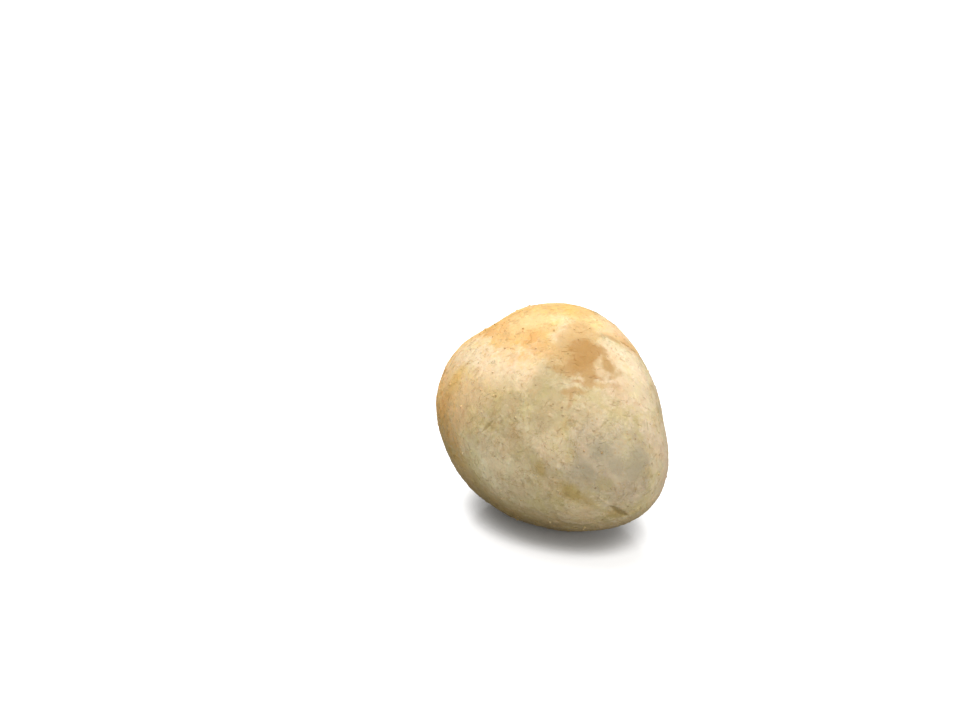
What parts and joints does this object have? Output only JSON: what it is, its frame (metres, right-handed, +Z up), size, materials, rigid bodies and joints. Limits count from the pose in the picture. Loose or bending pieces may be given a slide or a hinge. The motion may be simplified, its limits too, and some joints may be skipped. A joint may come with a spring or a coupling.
{
  "type": "straw mushroom",
  "caption": "Whole straw mushroom at the egg stage: a closed, lopsided egg in a pale felted veil, lying on its side, with a sunken scar at its base.",
  "frame": {"origin": "under the middle of the body's bounding box, on the surface that the mushroom lies on", "axes": "+Z up; +Y to the back; the crown points forwards (-Y) and 30 degrees to the right (+X), 5 degrees below the horizontal; the base with its scar points back and left"},
  "size_m": [0.0376, 0.0418, 0.0348],
  "materials": {
    "veil_skin": "matte, finely felted, pale cream going warm yellow on top and greyer at the crown"
  },
  "bodies": {
    "root": {"mushroom_body": "veil_skin"}
  },
  "joints": []
}
